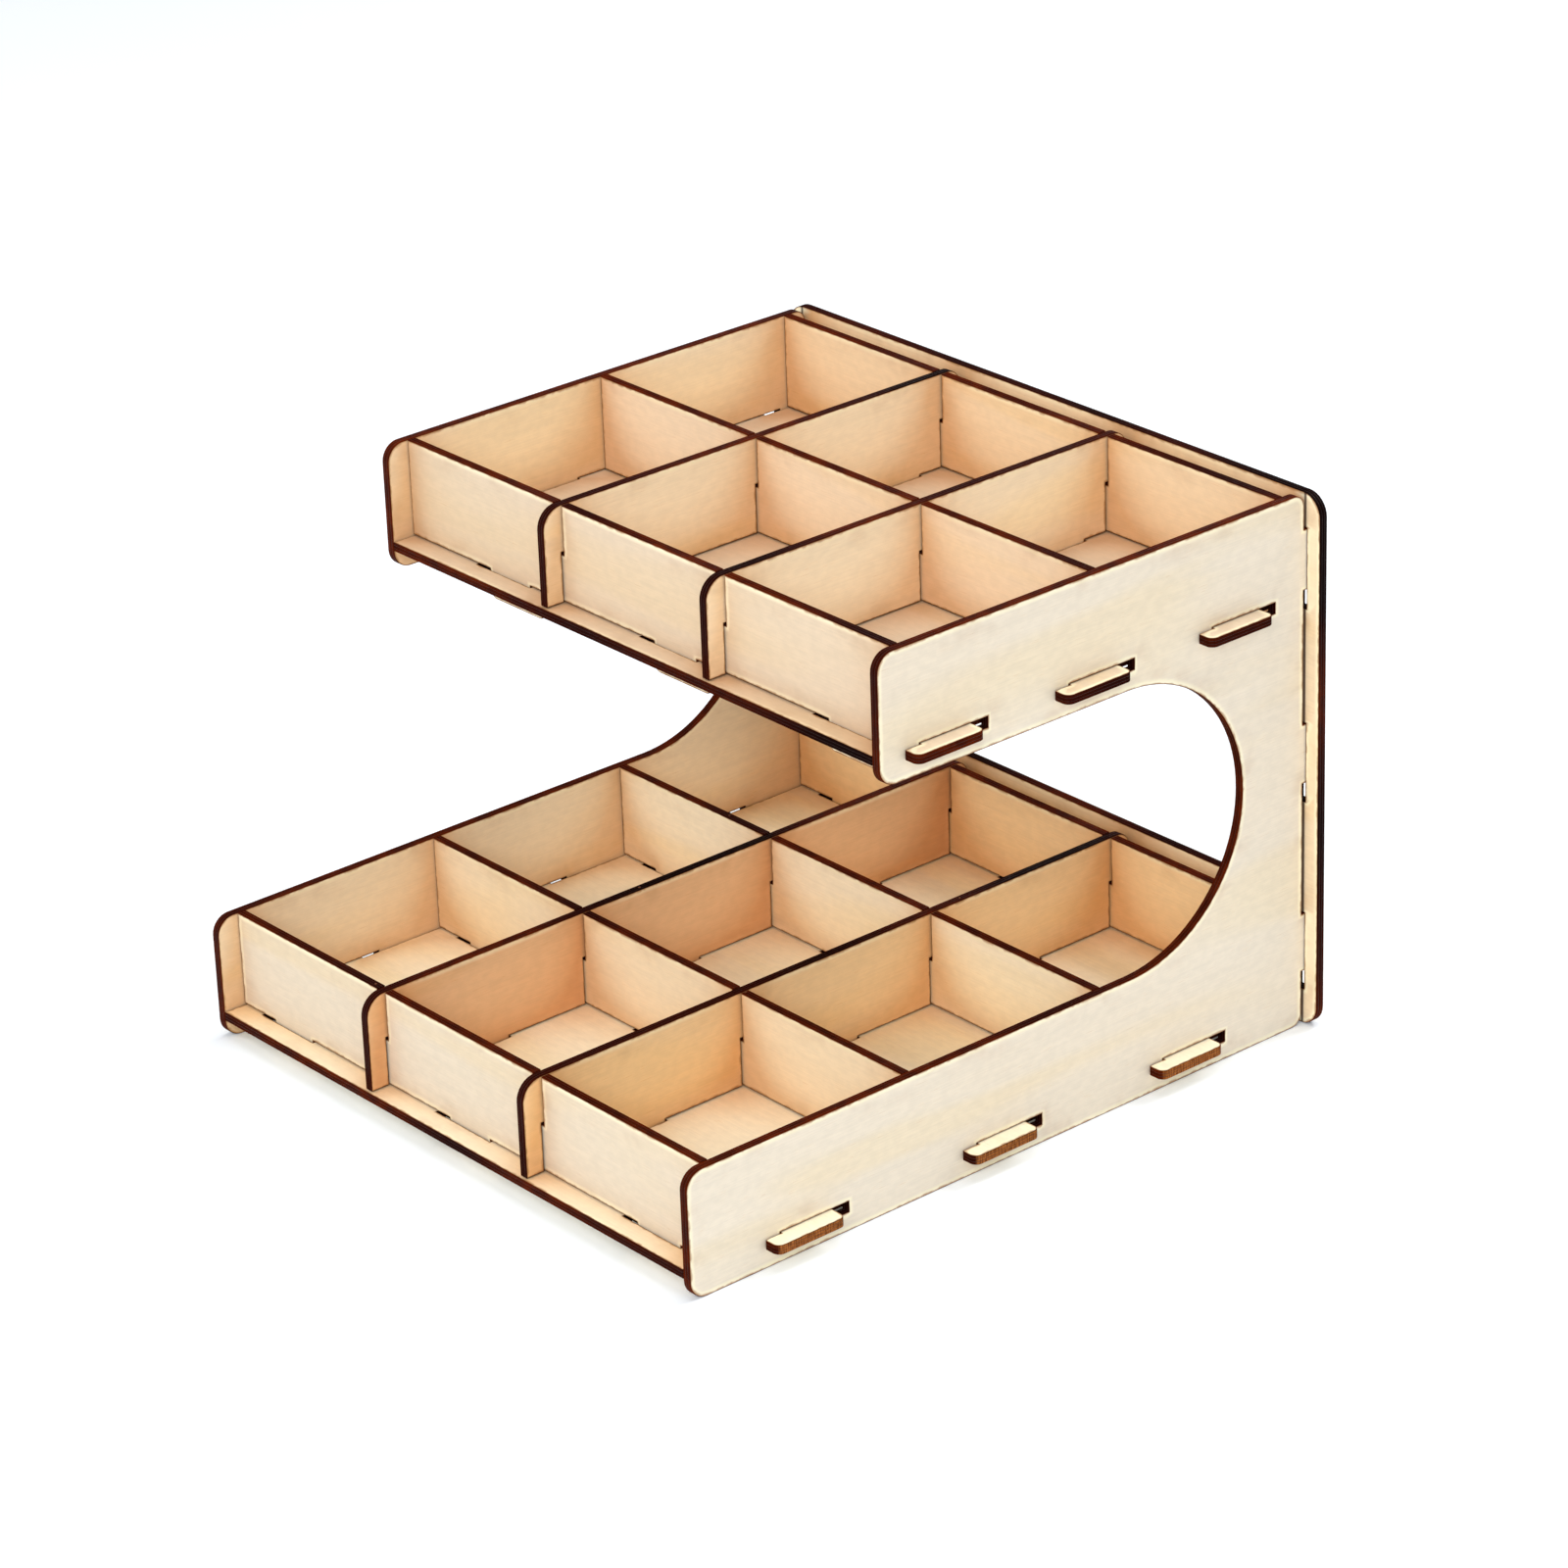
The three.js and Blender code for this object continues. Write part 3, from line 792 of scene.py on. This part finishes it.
def glue_line_tree():
    """Sweeps a small round ridge along every line of the mesh that it is given."""
    graph, given, made = new_modifier_tree(
        "Glue Line Ridges",
        (("Radius", NUMBER), ("Sides", "NodeSocketInt"), ("Material", "NodeSocketMaterial")))
    lines = graph.node("GeometryNodeMeshToCurve", {"Mesh": given["Geometry"]})
    profile = graph.node("GeometryNodeCurvePrimitiveCircle", {
        "Resolution": given["Sides"], "Radius": given["Radius"]}, mode="RADIUS")
    swept = graph.node("GeometryNodeCurveToMesh", {
        "Curve": lines.outputs["Curve"], "Profile Curve": profile.outputs["Curve"]})
    close_tree(graph, swept.outputs["Mesh"], given["Material"], made)
    return graph.tree


# A stub is a ball whose skin is pulled in by noise, up to this share of its radius.
STUB_ROUNDNESS = 3       # subdivisions
TEAR_SCALE = 4.0
TEAR_LEVEL = 0.75        # noise at which the skin stays in place
TEAR_DEPTH = 0.6
SMALLEST_STUB = 0.75     # of the full size


def stub_tree():
    """Sets a small torn stub on every point that it is given, turned to the point's own facing."""
    graph, given, made = new_modifier_tree(
        "Holding Tab Stubs",
        (("Width", NUMBER), ("Depth", NUMBER), ("Height", NUMBER),
         ("Seed", "NodeSocketInt"), ("Material", "NodeSocketMaterial")))
    stub = graph.node("GeometryNodeMeshIcoSphere", {"Radius": 0.5, "Subdivisions": STUB_ROUNDNESS})
    rough = graph.node("ShaderNodeTexNoise", {"Scale": TEAR_SCALE})
    position = graph.node("GeometryNodeInputPosition").outputs["Position"]
    tear = graph.times(graph.math("SUBTRACT", rough.outputs["Fac"], TEAR_LEVEL), TEAR_DEPTH)
    pull = graph.node("ShaderNodeVectorMath", {0: position, "Scale": tear}, operation="SCALE")
    torn = graph.node("GeometryNodeSetPosition", {
        "Geometry": stub.outputs["Mesh"], "Offset": pull.outputs["Vector"]})
    facing = graph.node("GeometryNodeInputNamedAttribute", {"Name": FACING_NAME},
                        data_type="FLOAT_VECTOR")
    turned = graph.node("FunctionNodeAlignEulerToVector", {"Vector": facing.outputs["Attribute"]},
                        axis="Z")
    spread = graph.node("FunctionNodeRandomValue", {
        2: SMALLEST_STUB, 3: 1.0, "Seed": given["Seed"]}, data_type="FLOAT")
    size = graph.node("ShaderNodeCombineXYZ", {
        "X": given["Width"], "Y": given["Depth"], "Z": graph.times(given["Height"], 2.0)})
    scale = graph.node("ShaderNodeVectorMath", {
        0: size.outputs["Vector"], "Scale": spread.outputs[1]}, operation="SCALE")
    points = graph.node("GeometryNodeMeshToPoints", {"Mesh": given["Geometry"]})
    placed = graph.node("GeometryNodeInstanceOnPoints", {
        "Points": points.outputs["Points"], "Instance": torn.outputs["Geometry"],
        "Rotation": turned.outputs["Rotation"], "Scale": scale.outputs["Vector"]})
    close_tree(graph, placed.outputs["Instances"], given["Material"], made)
    return graph.tree


def grown(name, seed_mesh, tree, values):
    """A plain mesh piece from a geometry tree run on a mesh, with its inputs set by name."""
    source = linked(name + "_source", seed_mesh)
    modifier = source.modifiers.new(tree.name, "NODES")
    modifier.node_group = tree
    for item in tree.interface.items_tree:
        if item.item_type == "SOCKET" and item.in_out == "INPUT" and item.name in values:
            modifier[item.identifier] = values[item.name]
    source.update_tag()
    evaluated = source.evaluated_get(bpy.context.evaluated_depsgraph_get())
    mesh = bpy.data.meshes.new_from_object(evaluated)
    source.modifiers.remove(modifier)
    bpy.data.objects.remove(source)
    mesh.name = name
    return linked(name, mesh)


def glue_lines(name, nodes):
    """The two glue lines of each sheet, standing in their grooves all round its cuts."""
    sheet = bpy.context.scene.rack_sheet
    inset = sheet.groove / MM
    level = SHEET / MM / 2 * sheet.ply
    points, links = [], []
    for node in nodes:
        axis = thin_axis(node)
        middle = BOXES[node][:, axis].mean() / MM
        for ring in outline_rings(node):
            line = ring + inward(ring) * inset
            for height in (-level, level):
                first = len(points)
                for along, up in line:
                    place = [0.0, 0.0, 0.0]
                    place[(axis + 1) % 3] = along * MM
                    place[(axis + 2) % 3] = up * MM
                    place[axis] = (middle + height) * MM
                    points.append(place)
                links += [(first + i, first + (i + 1) % len(line)) for i in range(len(line))]
    mesh = bpy.data.meshes.new(name + "_paths")
    mesh.from_pydata(points, links, [])
    tree = shared_group(glue_line_tree, "Glue Line Ridges")
    piece = grown(name, mesh, tree, {
        "Radius": sheet.ridge, "Sides": RIDGE_SIDES, "Material": glue_material()})
    finish_piece(piece)
    return piece


# ---------------------------------------------------------------- operators

ALONG_X, ALONG_Y = 0, 1


class SheetOperator:
    """Cuts one kind of sheet and lays its glue lines."""
    bl_options = {"REGISTER", "UNDO"}

    def cut(self, kind, redness, grain, shades, gap_shaded=False, singed=()):
        """shades gives each node's veneer shade, a wood tone with some painted light and shade in it, and
        singed lists the nodes whose hooks are pale.
        """
        wood = bpy.context.scene.rack_veneer
        slot = cut_material("slot_cut", 0.0)
        names = list(BOXES)
        for node, shade in shades.items():
            face = veneer_material(f"{shade}_{kind}", getattr(wood, shade), gap_shaded)
            edge = cut_material(f"{'singed_' * (node in singed)}{kind}_cut", redness, node in singed)
            sheet = cut_sheet(f"{node}_sheet", node, grain, (face, edge, slot), names.index(node))
            finish_piece(sheet, node)
        glue_lines(f"{kind}_glue_lines", list(shades))
        return {"FINISHED"}


class RACK_OT_side_panels(SheetOperator, bpy.types.Operator):
    """Cut both C-shaped side panels."""
    bl_idname = "rack.side_panels"
    bl_label = "Side Panels"

    def execute(self, context):
        return self.cut("side_panel", 0.8, ALONG_Y,
                        {"left_side_panel": "blond", "right_side_panel": "cream"})


class RACK_OT_back_panel(SheetOperator, bpy.types.Operator):
    """Cut the back panel with its window."""
    bl_idname = "rack.back_panel"
    bl_label = "Back Panel"

    def execute(self, context):
        # The back panel takes the painted shade where the side panels meet it.
        return self.cut("back_panel", 0.3, ALONG_X, {"back_panel": "honey"}, gap_shaded=True)


class RACK_OT_floors(SheetOperator, bpy.types.Operator):
    """Cut the floors of both trays."""
    bl_idname = "rack.floors"
    bl_label = "Tray Floors"

    def execute(self, context):
        return self.cut("floor", 0.5, ALONG_X, {"lower_floor": "white", "upper_floor": "wheat"},
                        singed=("lower_floor",))


class RACK_OT_cross_walls(SheetOperator, bpy.types.Operator):
    """Cut the front, cross and rear walls of both trays."""
    bl_idname = "rack.cross_walls"
    bl_label = "Cross Walls"

    def execute(self, context):
        return self.cut("cross_wall", 0.75, ALONG_X, {
            "lower_front_panel": "ivory",
            "lower_cross_divider_front": "blond",
            "lower_cross_divider_rear": "white",
            "lower_rear_panel": "amber",
            "upper_front_panel": "wheat",
            "upper_cross_divider": "straw",
            "upper_rear_panel": "honey",
        })


class RACK_OT_long_dividers(SheetOperator, bpy.types.Operator):
    """Cut the long dividers of both trays."""
    bl_idname = "rack.long_dividers"
    bl_label = "Long Dividers"

    def execute(self, context):
        return self.cut("long_divider", 0.4, ALONG_Y, {
            "lower_long_divider_left": "tan",
            "lower_long_divider_right": "amber",
            "upper_long_divider_left": "blond",
            "upper_long_divider_right": "white",
        })


# Stubs left on the lower tray's top edges: the node, and the share of its length from its front or
# left end. The upper tray has none, because its top edges are the top of the rack.
STUBS = (
    ("lower_front_panel", 0.31), ("lower_cross_divider_front", 0.68),
    ("lower_cross_divider_rear", 0.24), ("lower_rear_panel", 0.22),
    ("lower_long_divider_left", 0.44), ("lower_long_divider_right", 0.71),
)


class RACK_OT_tab_stubs(bpy.types.Operator):
    """Leave the stubs of the tabs that held the pieces in their sheet."""
    bl_idname = "rack.tab_stubs"
    bl_label = "Tab Stubs"
    bl_options = {"REGISTER", "UNDO"}

    def execute(self, context):
        settings = context.scene.rack_stub
        points = []
        for node, share in STUBS:
            low, high = BOXES[node]
            place = (low + high) / 2
            run = 1 if thin_axis(node) == 0 else 0
            place[run] = low[run] + share * (high[run] - low[run])
            place[2] = high[2]
            points.append(place)
        mesh = bpy.data.meshes.new("stub_points")
        mesh.from_pydata(points, [], [])
        facing = mesh.attributes.new(FACING_NAME, "FLOAT_VECTOR", "POINT")
        facing.data.foreach_set("vector", [0.0, 0.0, 1.0] * len(points))
        tree = shared_group(stub_tree, "Holding Tab Stubs")
        piece = grown("tab_stubs", mesh, tree, {
            "Width": settings.width, "Depth": settings.width, "Height": settings.height,
            "Seed": settings.seed, "Material": stub_material()})
        finish_piece(piece)
        return {"FINISHED"}


# ---------------------------------------------------------------- stage

FLOOR_HALF = 5.0         # m
FLOOR_ROUGHNESS = 0.9
CLOUD_SCALE = 3.0        # clouds of the paper's slightly darker shade, to the metre
CLOUD_SHADE = 0.985
SENSOR_WIDTH = 36.0      # mm
FARTHEST_SEEN = 50.0     # m
# Name, place, diameter in metres and share of the power.
SOFT_BOXES = (
    ("front_right", (1.3, -1.4, 1.3), 1.2, 0.25),
    ("front_left", (-1.2, -1.4, 1.5), 1.2, 0.12),
    ("front", (0.1, -2.0, 0.9), 1.2, 0.09),
    ("right", (1.9, -0.1, 1.0), 1.2, 0.04),
    ("top", (0.0, 0.0, 2.2), 1.6, 0.21),
    ("back", (0.2, 1.7, 1.6), 1.2, 0.34),
)

# The point that the camera looks at.
AIM = Vector((-0.01247, 0.01965, 0.07182))


def stage_floor(settings):
    mesh = bpy.data.meshes.new("stage_floor")
    corners = [(x * FLOOR_HALF, y * FLOOR_HALF, 0.0) for x, y in ((-1, -1), (1, -1), (1, 1), (-1, 1))]
    mesh.from_pydata(corners, [], [(0, 1, 2, 3)])
    made, graph, shader = new_material("stage_paper")
    place = graph.node("ShaderNodeTexCoord").outputs["Object"]
    paper = graph.node("ShaderNodeTexNoise", {"Vector": place, "Scale": CLOUD_SCALE}).outputs["Fac"]
    darker = [CLOUD_SHADE * part for part in settings.floor]
    graph.feed(shader.inputs["Base Color"], graph.mix(paper, settings.floor, darker))
    shader.inputs["Roughness"].default_value = FLOOR_ROUGHNESS
    shader.inputs["Emission Color"].default_value = (*settings.sky, 1.0)
    shader.inputs["Emission Strength"].default_value = settings.glow
    mesh.materials.append(made)
    linked("stage_floor", mesh)


def soft_box(name, place, size, power):
    """A round area light that faces the rack."""
    light = bpy.data.lights.new(name, "AREA")
    light.shape = "DISK"
    light.size = size
    light.energy = power
    lamp = linked(name, light)
    lamp.location = place
    centre = (Vector(CAD_BOX[0]) + Vector(CAD_BOX[1])) / 2
    lamp.rotation_euler = (centre - lamp.location).to_track_quat("-Z", "Y").to_euler()


def stage_camera(settings):
    """A camera that looks at AIM from its azimuth and elevation, then rolls."""
    azimuth, elevation = settings.azimuth, settings.elevation
    back = Vector((math.sin(azimuth) * math.cos(elevation), -math.cos(azimuth) * math.cos(elevation),
                   math.sin(elevation)))
    right = Vector((math.cos(azimuth), math.sin(azimuth), 0.0))
    turn = Matrix((right, back.cross(right), back)).transposed() @ Matrix.Rotation(settings.roll, 3, "Z")
    data = bpy.data.cameras.new("camera")
    data.lens = settings.lens
    data.sensor_width = SENSOR_WIDTH
    data.clip_end = FARTHEST_SEEN
    camera = linked("camera", data)
    camera.matrix_world = Matrix.Translation(AIM + back * settings.distance) @ turn.to_4x4()
    bpy.context.scene.camera = camera


def stage_world(settings):
    world = bpy.data.worlds.new("surround")
    world.use_nodes = True
    background = world.node_tree.nodes["Background"]
    background.inputs["Color"].default_value = (*settings.sky, 1.0)
    background.inputs["Strength"].default_value = settings.sky_strength
    bpy.context.scene.world = world


class RACK_OT_stage(bpy.types.Operator):
    """Set out the pale floor, the soft lights and the camera."""
    bl_idname = "rack.stage"
    bl_label = "Stage"
    bl_options = {"REGISTER", "UNDO"}

    def execute(self, context):
        settings = context.scene.rack_stage
        context.scene.view_settings.view_transform = "Standard"
        context.scene.view_settings.look = "None"
        stage_floor(settings)
        stage_world(settings)
        stage_camera(settings)
        for name, place, size, share in SOFT_BOXES:
            soft_box(name, place, size, share * settings.power)
        return {"FINISHED"}


# ---------------------------------------------------------------- interface

class RACK_PT_sidebar(bpy.types.Panel):
    """Buttons for each group of pieces, and the sizes and colours that they use."""
    bl_idname = "RACK_PT_sidebar"
    bl_label = "Plywood Paint Rack"
    bl_space_type = "VIEW_3D"
    bl_region_type = "UI"
    bl_category = "Paint Rack"

    def draw(self, context):
        for operator in OPERATORS:
            self.layout.operator(operator.bl_idname)
        for label, group in SETTINGS.items():
            settings = getattr(context.scene, label)
            box = self.layout.box()
            for name in group.__annotations__:
                box.prop(settings, name)


SETTINGS = {
    "rack_sheet": RackSheetSettings,
    "rack_veneer": RackVeneerSettings,
    "rack_scorch": RackScorchSettings,
    "rack_stub": RackStubSettings,
    "rack_stage": RackStageSettings,
}
OPERATORS = (
    RACK_OT_side_panels, RACK_OT_back_panel, RACK_OT_floors, RACK_OT_cross_walls,
    RACK_OT_long_dividers, RACK_OT_tab_stubs, RACK_OT_stage,
)
CLASSES = (*SETTINGS.values(), *OPERATORS, RACK_PT_sidebar)


def register():
    for made in CLASSES:
        bpy.utils.register_class(made)
    for label, group in SETTINGS.items():
        setattr(bpy.types.Scene, label, PointerProperty(type=group))


def unregister():
    for label in SETTINGS:
        delattr(bpy.types.Scene, label)
    for made in reversed(CLASSES):
        bpy.utils.unregister_class(made)


def main():
    register()
    for operator in OPERATORS:
        group, name = operator.bl_idname.split(".")
        getattr(getattr(bpy.ops, group), name)()


if __name__ == "__main__":
    main()
